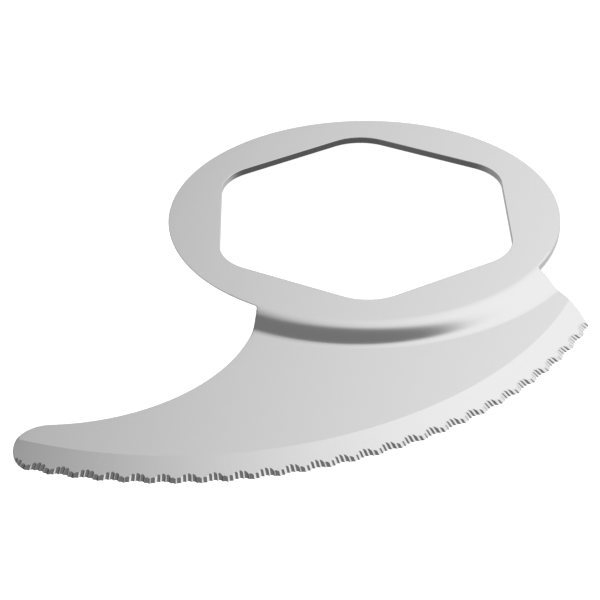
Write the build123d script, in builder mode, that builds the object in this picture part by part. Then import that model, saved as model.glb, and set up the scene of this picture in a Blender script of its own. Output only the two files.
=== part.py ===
from build123d import *
import os
from math import atan2, cos, degrees, radians, sin, sqrt, tan

# Serrated sickle blade of a bowl cutter, pressed and ground from one piece of stainless sheet: a flat
# ring with a hexagonal drive hole, a pressed step down, and a curved wing whose outer edge is bevelled
# and ground into scallops of fine teeth. Millimetres. The origin is the hexagon's centre on the ring's
# underside, with +Z up, two of the hexagon's corners on Y, and the wing below the ring towards -Y.

# Sheet and ring
THICKNESS = 2.0
RING_DIAMETER = 112.0
HEX_ACROSS_FLATS = 82.0
HEX_CORNER_RADIUS = 14.0

# Pressed step that carries the wing below the ring
STEP_INSET = 0.9  # the first bend begins this far inside the ring's rim
STEP_DROP = 2.9
STEP_ANGLE = 32.0
CREST_BEND_RADIUS = 9.0  # inside radius, under the bend beside the ring
FOOT_BEND_RADIUS = 6.2  # inside radius, on top of the bend beside the wing

# Wing outline in plan, with reaches and angles measured from the ring's centre
REACH = 140.5  # to the farthest point of the tip's round
TIP_ANGLE = -128.4
TIP_RADIUS = 8.8
EDGE_RADIUS = 119.7
HEEL_REACH = 79.95  # to the corner where the cutting edge ends
HEEL_ANGLE = -43.3
HEEL_ROOT_ANGLE = -33.7  # where the heel leaves the ring
HEEL_RADIUS = 60.0
BACK_ROOT_ANGLE = -122.9  # where the hollow back leaves the ring
BACK_RADIUS = 52.0
NECK_RADIUS = 2.0  # inside corners between the ring and the wing

# Ground bevel and serration, with depths measured in plan on the underside
BEVEL_WIDTH = 8.95
EDGE_LAND = 0.24  # sheet left at the foot of the bevel before the teeth are ground
SCALLOP_PITCH = 6.38
FIRST_SCALLOP = 0.1  # from the tip's round to the middle of the first whole scallop
TEETH_PER_SCALLOP = 5
TOOTH_DEPTH = 0.34
SCALLOP_DEPTH = 0.7  # the middle tooth gap is this much deeper than the outer ones
POINT_INSET = 0.3  # the foremost tooth points lie this far inside the edge radius
FLUTE_ANGLE = 24.3  # slope of the tooth gaps' floors, steeper than the bevel


def polar(center, radius, angle):
    """Point at a radius and an angle in degrees from a centre."""
    return center + Vector(radius * cos(radians(angle)), radius * sin(radians(angle)))


def direction(start, end):
    """Angle in degrees from one point to another."""
    return degrees(atan2(end.Y - start.Y, end.X - start.X))


def circles_meet(center_a, radius_a, center_b, radius_b):
    """Both points where two circles cross."""
    span = (center_b - center_a).length
    along = (radius_a**2 - radius_b**2 + span**2) / (2 * span)
    across = sqrt(radius_a**2 - along**2)
    axis = (center_b - center_a).normalized()
    foot = center_a + axis * along
    side = Vector(-axis.Y, axis.X) * across
    return foot + side, foot - side


# Levels and radii that follow from the driving dimensions
ring_center = Vector(0, 0)
ring_radius = RING_DIAMETER / 2
wing_top = THICKNESS - STEP_DROP
wing_bottom = -STEP_DROP
overshoot = THICKNESS / 2  # by which every cutting shape passes the sheet

# Ends of the wing's arcs
tip_center = polar(ring_center, REACH - TIP_RADIUS, TIP_ANGLE)
heel_corner = polar(ring_center, HEEL_REACH, HEEL_ANGLE)
heel_root = polar(ring_center, ring_radius - STEP_INSET, HEEL_ROOT_ANGLE)
heel_neck = polar(ring_center, ring_radius, HEEL_ROOT_ANGLE)
back_neck = polar(ring_center, ring_radius, BACK_ROOT_ANGLE)

# The tip's round touches the cutting edge from inside and the back from outside
edge_centers = circles_meet(tip_center, EDGE_RADIUS - TIP_RADIUS, heel_corner, EDGE_RADIUS)
edge_center = max(edge_centers, key=lambda point: point.Y)
edge_tip_angle = direction(edge_center, tip_center)
edge_heel_angle = direction(edge_center, heel_corner)
back_centers = circles_meet(tip_center, BACK_RADIUS + TIP_RADIUS, back_neck, BACK_RADIUS)
back_center = min(back_centers, key=lambda point: point.X)
back_tip_angle = direction(back_center, tip_center)
back_ring_angle = direction(back_center, ring_center)

# Corners of the step's top line before its bends are rounded
crest_top_radius = CREST_BEND_RADIUS + THICKNESS
step_crest = ring_radius - STEP_INSET + crest_top_radius * tan(radians(STEP_ANGLE / 2))
step_foot = step_crest + STEP_DROP / tan(radians(STEP_ANGLE))

# One scallop's line across the flutes: round tooth gaps, deepest in the middle, with sharp crests between
tooth_pitch = SCALLOP_PITCH / TEETH_PER_SCALLOP
middle = (TEETH_PER_SCALLOP - 1) / 2
flute_sine = sin(radians(FLUTE_ANGLE))


def gap_depth(tooth):
    """Depth of a tooth gap in plan; the gaps beside the scallop are as shallow as its outer ones."""
    bow = 1 - ((tooth - middle) / middle) ** 2
    return POINT_INSET + TOOTH_DEPTH + SCALLOP_DEPTH * max(bow, 0)


gap_floors = []
for tooth in range(TEETH_PER_SCALLOP):
    gap_floors.append((tooth_pitch * (tooth - middle), -gap_depth(tooth) * flute_sine))
crests = []
for crest in range(TEETH_PER_SCALLOP + 1):
    crest_depth = (gap_depth(crest - 1) + gap_depth(crest)) / 2 - TOOTH_DEPTH
    crests.append((tooth_pitch * (crest - middle - 0.5), -crest_depth * flute_sine))
comb_half_width = SCALLOP_PITCH / 2 + overshoot

# Scallops from the one that runs out round the tip to the heel
scallop_step = degrees(SCALLOP_PITCH / EDGE_RADIUS)
first_angle = edge_tip_angle + degrees(FIRST_SCALLOP / EDGE_RADIUS)
scallop_count = int((edge_heel_angle - first_angle) / scallop_step) + 2
scallop_angles = [first_angle + (number - 1) * scallop_step for number in range(scallop_count)]
flute_run = (THICKNESS + overshoot) / flute_sine


def flute_plane(angle):
    """Section plane across the flutes at one place on the edge, facing out and down along them."""
    foot = polar(edge_center, EDGE_RADIUS, angle) + Vector(0, 0, wing_bottom)
    outward = polar(Vector(0, 0, -flute_sine), cos(radians(FLUTE_ANGLE)), angle)
    return Plane(origin=foot, x_dir=polar(ring_center, 1, angle + 90), z_dir=outward)


with BuildPart() as blade:
    # Sheet pressed to its step, as a disc about the ring's axis
    with BuildSketch(Plane.XZ):
        with BuildLine():
            FilletPolyline(
                (0, THICKNESS),
                (step_crest, THICKNESS),
                (step_foot, wing_top),
                (REACH + overshoot, wing_top),
                radius=[crest_top_radius, FOOT_BEND_RADIUS],
            )
            offset(amount=THICKNESS, side=Side.RIGHT)
        make_face()
    revolve(axis=Axis.Z)

    # Blank outline: the ring and the sickle wing, with rounded necks where they join
    with BuildSketch(Plane.XY.offset(wing_bottom - overshoot)) as outline:
        with BuildLine():
            CenterArc(edge_center, EDGE_RADIUS, edge_tip_angle, edge_heel_angle - edge_tip_angle)
            CenterArc(tip_center, TIP_RADIUS, edge_tip_angle, back_tip_angle - edge_tip_angle - 180)
            back = CenterArc(back_center, BACK_RADIUS, back_tip_angle, back_ring_angle - back_tip_angle)
            Line(back @ 1, heel_root)
            RadiusArc(heel_root, heel_corner, HEEL_RADIUS)
        make_face()
        Circle(ring_radius)
        necks = [outline.vertices().sort_by_distance(neck)[0] for neck in (back_neck, heel_neck)]
        fillet(necks, NECK_RADIUS)
    extrude(amount=THICKNESS - wing_bottom + 2 * overshoot, mode=Mode.INTERSECT)

    # Hexagonal drive hole with round corners
    with BuildSketch(Plane.XY.offset(-overshoot)) as drive_hole:
        RegularPolygon(HEX_ACROSS_FLATS / 2, 6, major_radius=False, rotation=30)
        fillet(drive_hole.vertices(), HEX_CORNER_RADIUS)
    extrude(amount=THICKNESS + 2 * overshoot, mode=Mode.SUBTRACT)

    # Bevel ground on the upper side, a cone about the edge's centre
    bevel_slope = (THICKNESS - EDGE_LAND) / BEVEL_WIDTH
    with BuildSketch(Plane(origin=edge_center, x_dir=(1, 0, 0), z_dir=(0, -1, 0))):
        with BuildLine():
            Polyline(
                (EDGE_RADIUS - BEVEL_WIDTH, wing_top),
                (EDGE_RADIUS + overshoot, wing_bottom + EDGE_LAND - overshoot * bevel_slope),
                (EDGE_RADIUS + overshoot, wing_top + overshoot),
                (EDGE_RADIUS - BEVEL_WIDTH, wing_top + overshoot),
                close=True,
            )
        make_face()
    revolve(axis=Axis(edge_center, (0, 0, 1)), mode=Mode.SUBTRACT)

    # Scallops of fine teeth, ground as sloping flutes that come out through the underside
    with BuildSketch(*[flute_plane(angle) for angle in scallop_angles]):
        with BuildLine():
            for tooth in range(TEETH_PER_SCALLOP):
                ThreePointArc(crests[tooth], gap_floors[tooth], crests[tooth + 1])
            Polyline(crests[-1], (comb_half_width, overshoot), (-comb_half_width, overshoot), crests[0])
        make_face()
    extrude(amount=flute_run, both=True, mode=Mode.SUBTRACT)

blade.part.label = "blade"
os.makedirs("parts", exist_ok=True)
export_step(blade.part, "parts/blade.step")
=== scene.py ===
from math import atan2, ceil, cos, degrees, radians, sin, sqrt, tan
import bmesh
import bpy
from mathutils import Matrix, Vector
from mathutils.geometry import delaunay_2d_cdt


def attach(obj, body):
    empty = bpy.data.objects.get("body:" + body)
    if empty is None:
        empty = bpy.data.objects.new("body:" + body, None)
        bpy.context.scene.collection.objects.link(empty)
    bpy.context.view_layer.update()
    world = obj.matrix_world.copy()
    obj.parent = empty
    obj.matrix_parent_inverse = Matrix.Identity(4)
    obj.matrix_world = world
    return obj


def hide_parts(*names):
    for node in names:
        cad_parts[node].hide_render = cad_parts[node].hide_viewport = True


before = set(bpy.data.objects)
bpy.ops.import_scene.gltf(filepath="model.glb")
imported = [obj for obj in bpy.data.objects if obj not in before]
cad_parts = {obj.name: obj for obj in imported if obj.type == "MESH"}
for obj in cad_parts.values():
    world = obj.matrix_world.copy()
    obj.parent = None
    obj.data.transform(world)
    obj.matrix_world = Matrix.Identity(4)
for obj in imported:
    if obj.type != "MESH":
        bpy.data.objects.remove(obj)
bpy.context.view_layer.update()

# Serrated sickle blade of a bowl cutter, one piece of ground stainless sheet. The blank is drawn in plan and
# lifted to its pressed step and its bevel, and a geometry tree then grinds the edge into scallops of teeth.

MM = 0.001

# Sheet and ring, in millimetres as in the part's drawing
THICKNESS = 2.0
RING_RADIUS = 56.0
HEX_ACROSS_FLATS = 82.0
HEX_CORNER_RADIUS = 14.0
EDGE_BREAK = 0.16  # round that tumbling leaves on every punched and sheared edge

# Pressed step
STEP_INSET = 0.9
STEP_DROP = 2.9
STEP_ANGLE = 32.0
CREST_BEND_RADIUS = 9.0  # inside radius, under the bend beside the ring
FOOT_BEND_RADIUS = 6.2  # inside radius, on top of the bend beside the wing

# Wing outline, with reaches and angles from the ring's centre
REACH = 140.5
TIP_ANGLE = -128.4
TIP_RADIUS = 8.8
EDGE_RADIUS = 119.7
HEEL_REACH = 79.95
HEEL_ANGLE = -43.3
HEEL_ROOT_ANGLE = -33.7
HEEL_RADIUS = 60.0
BACK_ROOT_ANGLE = -122.9
BACK_RADIUS = 52.0
NECK_RADIUS = 2.0

# Ground bevel and serration
BEVEL_WIDTH = 8.95
EDGE_LAND = 0.24
SCALLOP_PITCH = 6.38
FIRST_SCALLOP = 0.1
TEETH_PER_SCALLOP = 5
TOOTH_DEPTH = 0.34
SCALLOP_DEPTH = 0.7
POINT_INSET = 0.3
FLUTE_ANGLE = 24.3

# Fineness of the mesh
SEGMENT = 0.9  # length of the pieces that arcs are drawn in
STEP_RINGS = 26  # circles across the pressed step
ROUND_STEPS = 3  # facets across a broken edge
FLUTE_STEPS = 6  # facets across a tooth gap
CREST_ANGLE = 25  # flutes that meet at more than this angle keep a sharp crest
WELD = 0.001  # corners nearer to each other than this become one
BEVEL_PAST_TIP = 12  # degrees by which the bevel line is drawn past the outline
BEVEL_PAST_HEEL = 6
STEP_PAST_NECKS = 8  # degrees by which the step's circles are drawn past the necks

# Camera, as fitted to the photograph
CAMERA_AIM = Vector((-18.9, -44.7, 2.0))
CAMERA_DISTANCE = 568.2
CAMERA_ELEVATION = 33.09
CAMERA_ROLL = -1.41
CAMERA_LENS = 126.75


# Plan geometry

def polar(center, radius, angle):
    """Plan point at a radius and an angle in degrees from a centre."""
    return center + radius * Vector((cos(radians(angle)), sin(radians(angle))))


def direction(start, end):
    """Angle in degrees from one plan point to another."""
    return degrees(atan2(end.y - start.y, end.x - start.x))


def circles_meet(center_a, radius_a, center_b, radius_b):
    """Both points where two circles cross."""
    axis = center_b - center_a
    span = axis.length
    axis.normalize()
    along = (radius_a**2 - radius_b**2 + span**2) / (2 * span)
    side = Vector((-axis.y, axis.x)) * sqrt(radius_a**2 - along**2)
    foot = center_a + axis * along
    return foot + side, foot - side


def arc(center, radius, start, end):
    """Points along an arc from one angle to another, without the last one."""
    count = max(6, ceil(abs(radians(end - start)) * radius / SEGMENT))
    return [polar(center, radius, start + (end - start) * step / count) for step in range(count)]


# Levels, centres and angles that follow from the sizes
wing_top = THICKNESS - STEP_DROP
wing_bottom = -STEP_DROP
step_start = RING_RADIUS - STEP_INSET
step_sine = sin(radians(STEP_ANGLE))
bend_radii = CREST_BEND_RADIUS + THICKNESS + FOOT_BEND_RADIUS
bend_fall = bend_radii * (1 - cos(radians(STEP_ANGLE)))
step_run = bend_radii * step_sine + (STEP_DROP - bend_fall) / tan(radians(STEP_ANGLE))
bevel_line = EDGE_RADIUS - BEVEL_WIDTH
bevel_slope = (THICKNESS - EDGE_LAND) / BEVEL_WIDTH
ring_middle = (RING_RADIUS + HEX_ACROSS_FLATS / 2) / 2  # radius between the drive hole's wall and the rim

axis_point = Vector((0, 0))
tip_center = polar(axis_point, REACH - TIP_RADIUS, TIP_ANGLE)
heel_corner = polar(axis_point, HEEL_REACH, HEEL_ANGLE)
heel_root = polar(axis_point, step_start, HEEL_ROOT_ANGLE)
back_root = polar(axis_point, RING_RADIUS, BACK_ROOT_ANGLE)
edge_centers = circles_meet(tip_center, EDGE_RADIUS - TIP_RADIUS, heel_corner, EDGE_RADIUS)
edge_center = max(edge_centers, key=lambda point: point.y)
back_centers = circles_meet(tip_center, BACK_RADIUS + TIP_RADIUS, back_root, BACK_RADIUS)
back_center = min(back_centers, key=lambda point: point.x)
heel_centers = circles_meet(heel_root, HEEL_RADIUS, heel_corner, HEEL_RADIUS)
heel_center = min(heel_centers, key=lambda point: point.x)
edge_tip_angle = direction(edge_center, tip_center)
edge_heel_angle = direction(edge_center, heel_corner)


def blank_outline():
    """Outline of the ring and the wing in plan, anticlockwise."""
    heel_necks = circles_meet(axis_point, RING_RADIUS + NECK_RADIUS, heel_center, HEEL_RADIUS + NECK_RADIUS)
    heel_neck = max(heel_necks, key=lambda point: point.x)
    back_necks = circles_meet(axis_point, RING_RADIUS + NECK_RADIUS, back_center, BACK_RADIUS - NECK_RADIUS)
    back_neck = min(back_necks, key=lambda point: point.y)
    heel_start = direction(heel_center, heel_corner)
    heel_end = direction(heel_center, heel_neck)
    ring_start = direction(axis_point, heel_neck)
    ring_end = direction(axis_point, back_neck) + 360
    back_start = direction(back_center, back_neck)
    back_end = direction(back_center, tip_center)
    edge = arc(edge_center, EDGE_RADIUS, edge_tip_angle, edge_heel_angle)
    heel = arc(heel_center, HEEL_RADIUS, heel_start, heel_end)
    heel_turn = arc(heel_neck, NECK_RADIUS, heel_end + 180, ring_start + 180)
    rim = arc(axis_point, RING_RADIUS, ring_start, ring_end)
    back_turn = arc(back_neck, NECK_RADIUS, ring_end - 180, back_start)
    back = arc(back_center, BACK_RADIUS, back_start, back_end)
    tip = arc(tip_center, TIP_RADIUS, back_end + 180, edge_tip_angle + 360)
    return edge + heel + heel_turn + rim + back_turn + back + tip


def hexagon_outline():
    """Outline of the drive hole with its round corners, clockwise."""
    corner_reach = (HEX_ACROSS_FLATS / 2 - HEX_CORNER_RADIUS) / cos(radians(30))
    points = []
    for corner in range(90, -270, -60):
        center = polar(axis_point, corner_reach, corner)
        points += arc(center, HEX_CORNER_RADIUS, corner + 30, corner - 30)
        points.append(polar(center, HEX_CORNER_RADIUS, corner - 30))
    return points


# Heights over the plan

def press_drop(point, first_bend, second_bend):
    """How far the sheet has dropped at a plan point, given the radii of the step's two bends."""
    run = point.length - step_start
    left = step_run - run
    if run <= 0:
        return 0
    if left <= 0:
        return STEP_DROP
    if run < first_bend * step_sine:
        return first_bend - sqrt(first_bend**2 - run**2)
    if left < second_bend * step_sine:
        return STEP_DROP - second_bend + sqrt(second_bend**2 - left**2)
    bend_end = first_bend * (1 - cos(radians(STEP_ANGLE)))
    return bend_end + (run - first_bend * step_sine) * tan(radians(STEP_ANGLE))


def bottom_level(point):
    """Height of the underside at a plan point."""
    return -press_drop(point, CREST_BEND_RADIUS, FOOT_BEND_RADIUS + THICKNESS)


def top_level(point):
    """Height of the upper side at a plan point, on the pressed sheet or on the bevel."""
    past_line = (point - edge_center).length - bevel_line
    if past_line > 0:
        return wing_top - past_line * bevel_slope
    return THICKNESS - press_drop(point, CREST_BEND_RADIUS + THICKNESS, FOOT_BEND_RADIUS)


def edge_round(point):
    """Radius of the broken edge at a plan point, less where the bevel thins the sheet."""
    return min(EDGE_BREAK, (top_level(point) - bottom_level(point)) / 4)


# Blank of the blade

def outward(before, point, after):
    """Mitred outward normal at a point of a loop that has the sheet on its left."""
    first = (point - before).normalized()
    second = (after - point).normalized()
    return Vector((first.y + second.y, -first.x - second.x)) / (1 + first.dot(second))


def inset(loop):
    """Loop drawn in by the broken edge's radius, as the faces end there."""
    points = []
    for number, point in enumerate(loop):
        normal = outward(loop[number - 1], point, loop[(number + 1) % len(loop)])
        points.append(point - normal * edge_round(point))
    return points


def plan_triangles():
    """Blank in plan, cut into triangles along the step's circles and the bevel line."""
    outline = inset(blank_outline())
    hole = inset(hexagon_outline())[::-1]
    points = outline + hole
    faces = [list(range(len(outline))), list(range(len(outline), len(points)))]
    lines = [arc(edge_center, bevel_line, edge_tip_angle - BEVEL_PAST_TIP, edge_heel_angle + BEVEL_PAST_HEEL)]
    for ring in range(STEP_RINGS + 1):
        radius = step_start + step_run * ring / STEP_RINGS
        start, end = BACK_ROOT_ANGLE - STEP_PAST_NECKS, HEEL_ROOT_ANGLE + STEP_PAST_NECKS
        lines.append(arc(axis_point, radius, start, end))
    edges = []
    for line in lines:
        first = len(points)
        points = points + line
        edges += [(number, number + 1) for number in range(first, len(points) - 1)]
    plan, _, triangles, _, _, owners = delaunay_2d_cdt(points, edges, faces, 0, 1e-5, True)
    return plan, [face for face, owner in zip(triangles, owners) if owner == [0]]


# Places of the finishes in the blade's material slots
SHEET, GROUND, SHEARED, PUNCHED, FLUTED = range(5)


def edge_profile(point, normal):
    """Points down the sheet's edge from its upper face to its underside, with both rims rounded."""
    size = edge_round(point)
    top, bottom = top_level(point), bottom_level(point)
    turns = [radians(90 * step / ROUND_STEPS) for step in range(ROUND_STEPS + 1)]
    upper = [(size * sin(turn), top - size * (1 - cos(turn))) for turn in turns[1:]]
    lower = [(size * cos(turn), bottom + size * (1 - sin(turn))) for turn in turns[:-1]]
    return [Vector((*(point + normal * out), level)) for out, level in upper + lower]


def pressed_blank():
    """Closed mesh of the pressed and bevelled sheet, before its teeth are ground."""
    plan, triangles = plan_triangles()
    used = sorted({corner for triangle in triangles for corner in triangle})
    place = {corner: number for number, corner in enumerate(used)}
    points = [Vector((*plan[corner], top_level(plan[corner]))) for corner in used]
    points += [Vector((*plan[corner], bottom_level(plan[corner]))) for corner in used]
    faces, finishes = [], []
    for triangle in triangles:
        middle = sum((plan[corner] for corner in triangle), Vector((0, 0))) / 3
        top = [place[corner] for corner in triangle]
        faces += [top, [len(used) + corner for corner in reversed(top)]]
        finishes += [GROUND if (middle - edge_center).length > bevel_line else SHEET, SHEET]

    sides = {pair for face in triangles for pair in zip(face, face[1:] + face[:1])}
    following = {start: end for start, end in sides if (end, start) not in sides}
    before = {end: start for start, end in following.items()}
    columns = {}
    for corner, after in following.items():
        normal = outward(plan[before[corner]], plan[corner], plan[after])
        first = len(points)
        points += edge_profile(plan[corner], normal)
        columns[corner] = [place[corner], *range(first, len(points)), len(used) + place[corner]]
    for corner, after in following.items():
        left, right = columns[corner], columns[after]
        wall = PUNCHED if plan[corner].length < ring_middle else SHEARED
        rim = GROUND if (plan[corner] - edge_center).length > bevel_line else SHEET
        for level in range(len(left) - 1):
            faces.append([left[level + 1], right[level + 1], right[level], left[level]])
            finishes.append(wall if level == ROUND_STEPS else rim)

    mesh = bpy.data.meshes.new("blade_blank")
    mesh.from_pydata([point * MM for point in points], [], faces)
    mesh.polygons.foreach_set("material_index", finishes)
    return mesh


# Serration

def flute_comb():
    """Shape of the grinding wheel that cuts one scallop, placed for the edge at angle 0 about its centre."""
    tooth_pitch = SCALLOP_PITCH / TEETH_PER_SCALLOP
    middle = (TEETH_PER_SCALLOP - 1) / 2
    flute_sine = sin(radians(FLUTE_ANGLE))
    overshoot = THICKNESS / 2
    half_width = SCALLOP_PITCH / 2

    def gap_depth(tooth):
        bow = 1 - ((tooth - middle) / middle) ** 2
        return POINT_INSET + TOOTH_DEPTH + SCALLOP_DEPTH * max(bow, 0)

    saw_line = [(-half_width - overshoot, overshoot)]
    for tooth in range(TEETH_PER_SCALLOP):
        across = (tooth - middle) * tooth_pitch
        depth = gap_depth(tooth)
        crest_before = (gap_depth(tooth - 1) + depth) / 2 - TOOTH_DEPTH
        crest_after = (gap_depth(tooth + 1) + depth) / 2 - TOOTH_DEPTH
        for step in range(FLUTE_STEPS):
            place = 2 * step / FLUTE_STEPS - 1
            lift = (crest_after - crest_before) / 2 * place
            hollow = (depth - (crest_before + crest_after) / 2) * (1 - place**2)
            level = (crest_before + crest_after) / 2 + lift + hollow
            saw_line.append((across + place * tooth_pitch / 2, -level * flute_sine))
    saw_line.append((half_width, -POINT_INSET * flute_sine))
    saw_line.append((half_width + overshoot, overshoot))

    slope = Matrix.Rotation(radians(FLUTE_ANGLE), 3, "Y")
    run = (THICKNESS + overshoot) / flute_sine
    foot = Vector((EDGE_RADIUS, 0, wing_bottom))
    points = [foot + slope @ Vector((end, *step)) for end in (-run, run) for step in saw_line]
    count = len(saw_line)
    faces = [list(range(count))[::-1], list(range(count, 2 * count))]
    for number in range(count):
        after = (number + 1) % count
        faces.append([number, after, count + after, count + number])
    mesh = bpy.data.meshes.new("flute_comb")
    mesh.from_pydata([point * MM for point in points], [], faces)
    cut = mesh.attributes.new("cut_by_wheel", "BOOLEAN", "FACE")
    cut.data.foreach_set("value", [True] * len(mesh.polygons))
    return mesh


def add(tree, kind, values=None, **settings):
    """Add a node with its settings, and link or set the inputs that are named in values."""
    node = tree.nodes.new(kind)
    for name, setting in settings.items():
        setattr(node, name, setting)
    for name, value in (values or {}).items():
        if isinstance(value, bpy.types.NodeSocket):
            tree.links.new(value, node.inputs[name])
        else:
            node.inputs[name].default_value = value
    return node


def serration_tree():
    """Geometry tree that repeats the wheel's comb along the edge and grinds it out of the blank."""
    tree = bpy.data.node_groups.new("serrated_edge", "GeometryNodeTree")
    sockets = (
        ("Blank", "INPUT", "NodeSocketGeometry"),
        ("Comb", "INPUT", "NodeSocketObject"),
        ("Edge Centre", "INPUT", "NodeSocketVector"),
        ("First Angle", "INPUT", "NodeSocketFloat"),
        ("Scallop Angle", "INPUT", "NodeSocketFloat"),
        ("Scallops", "INPUT", "NodeSocketInt"),
        ("Flute Finish", "INPUT", "NodeSocketMaterial"),
        ("Blade", "OUTPUT", "NodeSocketGeometry"),
    )
    for name, side, kind in sockets:
        tree.interface.new_socket(name, in_out=side, socket_type=kind)
    given = add(tree, "NodeGroupInput").outputs
    index = add(tree, "GeometryNodeInputIndex").outputs["Index"]
    turned = add(tree, "ShaderNodeMath", {0: index, 1: given["Scallop Angle"], 2: given["First Angle"]},
                 operation="MULTIPLY_ADD").outputs[0]
    turn = add(tree, "ShaderNodeCombineXYZ", {"Z": turned}).outputs[0]
    places = add(tree, "GeometryNodePoints", {"Count": given["Scallops"], "Position": given["Edge Centre"]})
    comb = add(tree, "GeometryNodeObjectInfo", {"Object": given["Comb"]}).outputs["Geometry"]
    combs = add(tree, "GeometryNodeInstanceOnPoints",
                {"Points": places.outputs[0], "Instance": comb, "Rotation": turn}).outputs[0]
    ground = add(tree, "GeometryNodeMeshBoolean", {"Mesh 1": given["Blank"], "Mesh 2": combs},
                 operation="DIFFERENCE", solver="EXACT").outputs["Mesh"]
    whole = add(tree, "GeometryNodeRealizeInstances", {"Geometry": ground}).outputs[0]
    cut = add(tree, "GeometryNodeInputNamedAttribute", {"Name": "cut_by_wheel"},
              data_type="BOOLEAN").outputs[0]
    finished = add(tree, "GeometryNodeSetMaterial",
                   {"Geometry": whole, "Selection": cut, "Material": given["Flute Finish"]}).outputs[0]
    add(tree, "NodeGroupOutput", {"Blade": finished})
    return tree


def object_of(name, mesh):
    """Object at the origin that carries a mesh."""
    piece = bpy.data.objects.new(name, mesh)
    bpy.context.scene.collection.objects.link(piece)
    return piece


def serrated_blade(finishes):
    """Finished blade as one plain mesh, with its creases kept sharp."""
    blank = object_of("blade_blank", pressed_blank())
    for finish in finishes:
        blank.data.materials.append(finish)
    comb = object_of("flute_comb", flute_comb())
    scallop_angle = SCALLOP_PITCH / EDGE_RADIUS
    first_angle = radians(edge_tip_angle) + FIRST_SCALLOP / EDGE_RADIUS
    scallops = int((radians(edge_heel_angle) - first_angle) / scallop_angle) + 2
    sizes = {
        "Comb": comb,
        "Edge Centre": (*edge_center * MM, 0),
        "First Angle": first_angle - scallop_angle,
        "Scallop Angle": scallop_angle,
        "Scallops": scallops,
        "Flute Finish": finishes[FLUTED],
    }
    grinding = blank.modifiers.new("serrated_edge", "NODES")
    grinding.node_group = serration_tree()
    for socket in grinding.node_group.interface.items_tree:
        if socket.name in sizes:
            grinding[socket.identifier] = sizes[socket.name]
    evaluated = blank.evaluated_get(bpy.context.evaluated_depsgraph_get())
    mesh = bpy.data.meshes.new_from_object(evaluated)
    blank.modifiers.remove(grinding)
    bpy.data.objects.remove(blank)
    bpy.data.objects.remove(comb)
    mesh.name = "blade_steel"
    return mesh


def crease(mesh):
    """Shade the blade smooth, apart from the bevel line, the flutes' ends and the crests between them."""
    shape = bmesh.new()
    shape.from_mesh(mesh)
    bmesh.ops.remove_doubles(shape, verts=shape.verts, dist=WELD * MM)
    for face in shape.faces:
        face.smooth = True
    for edge in shape.edges:
        finishes = {face.material_index for face in edge.link_faces}
        if finishes == {FLUTED}:
            edge.smooth = edge.calc_face_angle(0) < radians(CREST_ANGLE)
        else:
            edge.smooth = finishes != {SHEET, GROUND} and FLUTED not in finishes
    shape.to_mesh(mesh)
    shape.free()


# Finishes

def linear(code):
    """Linear colour of an sRGB hex code."""
    parts = [int(code[start:start + 2], 16) / 255 for start in (1, 3, 5)]
    return (*[part / 12.92 if part <= 0.04045 else ((part + 0.055) / 1.055) ** 2.4 for part in parts], 1)


def steel(name, color, roughness, grain, grain_depth):
    """Stainless steel whose grain comes from a function that gives the pattern's vector in a tree."""
    material = bpy.data.materials.new(name)
    material.use_nodes = True
    tree = material.node_tree
    shader = tree.nodes["Principled BSDF"]
    place = add(tree, "ShaderNodeTexCoord").outputs["Object"]
    pattern = {"Vector": grain(tree, place), "Scale": 1, "Detail": 3}
    lines = add(tree, "ShaderNodeTexNoise", pattern).outputs["Fac"]
    spread = add(tree, "ShaderNodeMapRange", {
        "Value": lines, "From Min": 0.3, "From Max": 0.7,
        "To Min": roughness[0], "To Max": roughness[1],
    }).outputs["Result"]
    relief = add(tree, "ShaderNodeBump", {"Height": lines, "Strength": 1, "Distance": grain_depth * MM})
    tree.links.new(spread, shader.inputs["Roughness"])
    tree.links.new(relief.outputs["Normal"], shader.inputs["Normal"])
    shader.inputs["Base Color"].default_value = linear(color)
    shader.inputs["Metallic"].default_value = 1
    return material


def straight_grain(length, width):
    """Grain along X: lines of a length and a width in millimetres."""
    def vector(tree, place):
        scale = (1 / (length * MM), 1 / (width * MM), 1 / (width * MM))
        return add(tree, "ShaderNodeMapping", {"Vector": place, "Scale": scale}).outputs[0]
    return vector


def upright_grain(length, width):
    """Grain along Z, as a shearing punch leaves on the sheet's edge."""
    def vector(tree, place):
        scale = (1 / (width * MM), 1 / (width * MM), 1 / (length * MM))
        return add(tree, "ShaderNodeMapping", {"Vector": place, "Scale": scale}).outputs[0]
    return vector


def radial_grain(length, width):
    """Grain across the cutting edge, towards the centre of its arc."""
    def vector(tree, place):
        center = (*edge_center * MM, 0)
        offset = add(tree, "ShaderNodeVectorMath", {0: place, 1: center}, operation="SUBTRACT").outputs[0]
        parts = add(tree, "ShaderNodeSeparateXYZ", {0: offset}).outputs
        angle = add(tree, "ShaderNodeMath", {0: parts["Y"], 1: parts["X"]}, operation="ARCTAN2").outputs[0]
        lines = EDGE_RADIUS / width
        around = add(tree, "ShaderNodeMath", {0: angle, 1: lines}, operation="MULTIPLY").outputs[0]
        reach = add(tree, "ShaderNodeVectorMath", {0: offset}, operation="LENGTH").outputs["Value"]
        along = add(tree, "ShaderNodeMath", {0: reach, 1: length * MM}, operation="DIVIDE").outputs[0]
        return add(tree, "ShaderNodeCombineXYZ", {"X": around, "Y": along}).outputs[0]
    return vector


STEEL = "#D6D6D6"
# Drive hole's colour: a little darker than STEEL, as painted shade inside the hole
PUNCHED_STEEL_PAINTED_SHADE = "#D0D0D0"
# Tooth gaps' colour: a little darker than STEEL, as painted shade in the gaps
FLUTE_STEEL_PAINTED_SHADE = "#CECECE"
GRAIN_DEPTH = 0.0006  # of ground faces
# Cold-rolled stainless sheet, finished with a fine belt: a soft even sheen with a faint straight grain. The
# belt's real lines are under 0.1 mm wide and are drawn at 0.4 mm, so that they show.
belt_ground_sheet = steel(
    "stainless_belt_ground", STEEL, (0.18, 0.22), straight_grain(30, 0.4), GRAIN_DEPTH,
)
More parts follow.
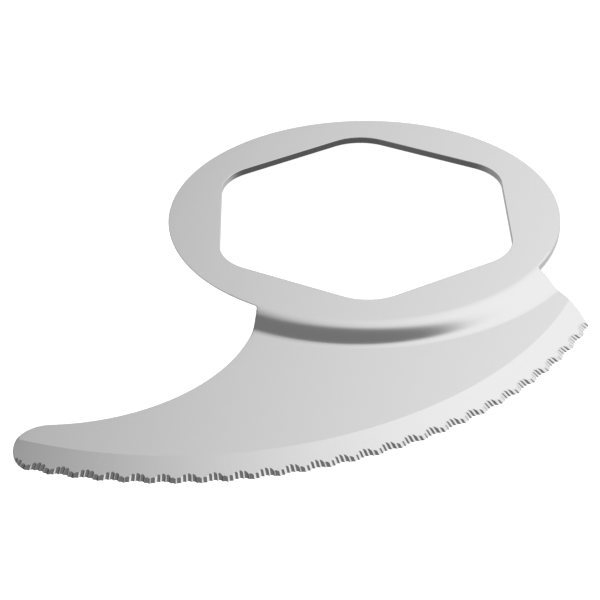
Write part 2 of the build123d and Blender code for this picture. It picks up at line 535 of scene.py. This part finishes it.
# The bevel is ground across the edge on a wheel: the sheet's sheen, with the grain turned towards the edge
wheel_ground_bevel = steel(
    "stainless_wheel_ground", STEEL, (0.18, 0.22), radial_grain(12, 0.4), GRAIN_DEPTH,
)
# The outline is sheared and tumbled: a smooth wall with faint upright streaks
sheared_edge = steel(
    "stainless_sheared_tumbled", STEEL, (0.16, 0.22), upright_grain(4, 0.6), 0.002,
)
# The drive hole is punched in one stroke and left with a duller sheen and streaks down its wall; its colour
# is a little darker than the sheet's, which is painted shade inside the hole
punched_bore_painted_shade = steel(
    "stainless_punched_painted_shade", PUNCHED_STEEL_PAINTED_SHADE, (0.22, 0.3), upright_grain(4, 0.6), 0.003,
)
# The tooth gaps are cut by a profiled wheel, which leaves them smoother than the sheet; their colour is a
# little darker than the sheet's, which is painted shade in the gaps
profile_ground_flutes_painted_shade = steel(
    "stainless_profile_ground_painted_shade", FLUTE_STEEL_PAINTED_SHADE, (0.1, 0.14), radial_grain(6, 0.3), GRAIN_DEPTH,
)

blade_mesh = serrated_blade([
    belt_ground_sheet, wheel_ground_bevel, sheared_edge, punched_bore_painted_shade, profile_ground_flutes_painted_shade,
])
crease(blade_mesh)
blade = object_of("blade_steel", blade_mesh)
blade.modifiers.new("even_faces", "WEIGHTED_NORMAL").keep_sharp = True
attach(blade, "root")
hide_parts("blade")


# Floor

FLOOR_GAP = 0.02  # keeps the wing's underside and the paper from lying in one plane
PAPER_GLOW = 0.9


def paper_floor():
    """White paper on a light table: it glows, so the blade throws hardly any shadow on it."""
    half = 3.0
    level = (wing_bottom - FLOOR_GAP) * MM
    mesh = bpy.data.meshes.new("floor")
    corners = [(-half, -half, level), (half, -half, level), (half, half, level), (-half, half, level)]
    mesh.from_pydata(corners, [], [(0, 1, 2, 3)])
    paper = bpy.data.materials.new("matt_white_paper")
    paper.use_nodes = True
    shader = paper.node_tree.nodes["Principled BSDF"]
    shader.inputs["Base Color"].default_value = linear("#F6F6F6")
    shader.inputs["Roughness"].default_value = 0.95
    shader.inputs["Specular IOR Level"].default_value = 0.1
    shader.inputs["Emission Color"].default_value = linear("#FFFFFF")
    shader.inputs["Emission Strength"].default_value = PAPER_GLOW
    mesh.materials.append(paper)
    floor = object_of("floor", mesh)
    floor.visible_glossy = False


paper_floor()


# Light

def heading(azimuth, elevation):
    """Unit vector, with the azimuth from straight behind the blade towards the right."""
    level = cos(radians(elevation))
    return Vector((level * sin(radians(azimuth)), level * cos(radians(azimuth)), sin(radians(elevation))))


# Panels of the studio, each in front of those before it: azimuth and elevation of its middle, half widths of
# its even and its faded part, and brightness
STUDIO_DIM = 0.13
PANELS = (
    (52, 36, 25, 71, 1.27),  # large soft lamp behind the blade on the right
    (140, 32, 20, 36, 0.55),  # pale wall right of the camera
    (-140, 32, 20, 36, 0.55),  # pale wall left of the camera
    (180, 35, 20, 36, 0.6),  # pale wall behind the camera
    (-98, 20, 14, 30, 0.5),  # pale wall on the left
    (-72, 15, 12, 26, 0.45),  # middle of that wall
    (-47, 20, 10, 26, 0.4),  # far end of that wall
    (-76, 54, 10, 24, 0.06),  # unlit corner above that wall
    (221, 73, 29, 41, 0.24),  # ceiling over the camera
    (-55, -30, 12, 66, 0.38),  # table in half light behind on the left
    (30, -30, 22, 68, 0.72),  # table in the lamp's light behind on the right
)


def studio_world():
    """Dim studio round the blade with large soft panels, which light only what mirrors them."""
    world = bpy.data.worlds.new("studio")
    world.use_nodes = True
    tree = world.node_tree
    sight = add(tree, "ShaderNodeTexCoord").outputs["Generated"]
    total = STUDIO_DIM
    for azimuth, elevation, even, faded, brightness in PANELS:
        toward = heading(azimuth, elevation)
        match = add(tree, "ShaderNodeVectorMath", {0: sight, 1: toward}, operation="DOT_PRODUCT")
        apart = add(tree, "ShaderNodeMath", {0: match.outputs["Value"]}, operation="ARCCOSINE").outputs[0]
        cover = add(tree, "ShaderNodeMapRange", {
            "Value": apart, "From Min": radians(even), "From Max": radians(faded), "To Min": 1, "To Max": 0,
        }, interpolation_type="SMOOTHSTEP").outputs["Result"]
        total = add(tree, "ShaderNodeMix", {"Factor": cover, "A": total, "B": brightness}).outputs["Result"]
    tree.links.new(total, tree.nodes["Background"].inputs["Strength"])
    tree.nodes["Background"].inputs["Color"].default_value = linear("#FFFFFF")
    world.cycles_visibility.diffuse = False
    bpy.context.scene.world = world


studio_world()

# Reflector card: its width, the angles round the ring that it lies between, and its brightness
CARD_WIDTH = 9.0
CARD_START = 170
CARD_END = 236
CARD_GLOW = 1.5


def reflector_card():
    """Strip of white card on the paper round the ring's left side, seen only in the steel that mirrors it."""
    near = arc(axis_point, RING_RADIUS, CARD_START, CARD_END)
    far = arc(axis_point, RING_RADIUS + CARD_WIDTH, CARD_END, CARD_START)
    mesh = bpy.data.meshes.new("reflector_card")
    corners = [Vector((*point, wing_bottom)) * MM for point in near + far]
    mesh.from_pydata(corners, [], [range(len(corners))])
    card = bpy.data.materials.new("lit_white_card")
    card.use_nodes = True
    shader = card.node_tree.nodes["Principled BSDF"]
    shader.inputs["Emission Color"].default_value = linear("#FFFFFF")
    shader.inputs["Emission Strength"].default_value = CARD_GLOW
    mesh.materials.append(card)
    piece = object_of("reflector_card", mesh)
    piece.visible_camera = False
    piece.visible_diffuse = False
    piece.visible_shadow = False


reflector_card()


def overhead_lamp():
    """Weak wide lamp above, which evens out the paper and isn't mirrored in the steel."""
    lamp = bpy.data.lights.new("overhead", "AREA")
    lamp.size = 3.0
    lamp.energy = 20
    over = object_of("overhead", lamp)
    over.location = (0, -0.05, 1.5)
    over.visible_glossy = False


overhead_lamp()


# Camera

def photo_camera():
    """Camera at the photograph's place, tilted as it was held."""
    elevation, roll = radians(CAMERA_ELEVATION), radians(CAMERA_ROLL)
    back = Vector((0, -cos(elevation), sin(elevation)))
    level_right = Vector((1, 0, 0))
    level_up = back.cross(level_right)
    right = level_right * cos(roll) + level_up * sin(roll)
    up = level_up * cos(roll) - level_right * sin(roll)
    lens = bpy.data.cameras.new("photo_camera")
    lens.lens = CAMERA_LENS
    lens.sensor_width = 36
    camera = object_of("photo_camera", lens)
    turn = Matrix((right, up, back)).transposed().to_4x4()
    camera.matrix_world = Matrix.Translation((CAMERA_AIM + back * CAMERA_DISTANCE) * MM) @ turn
    bpy.context.scene.camera = camera


photo_camera()
bpy.context.scene.view_settings.view_transform = "Standard"
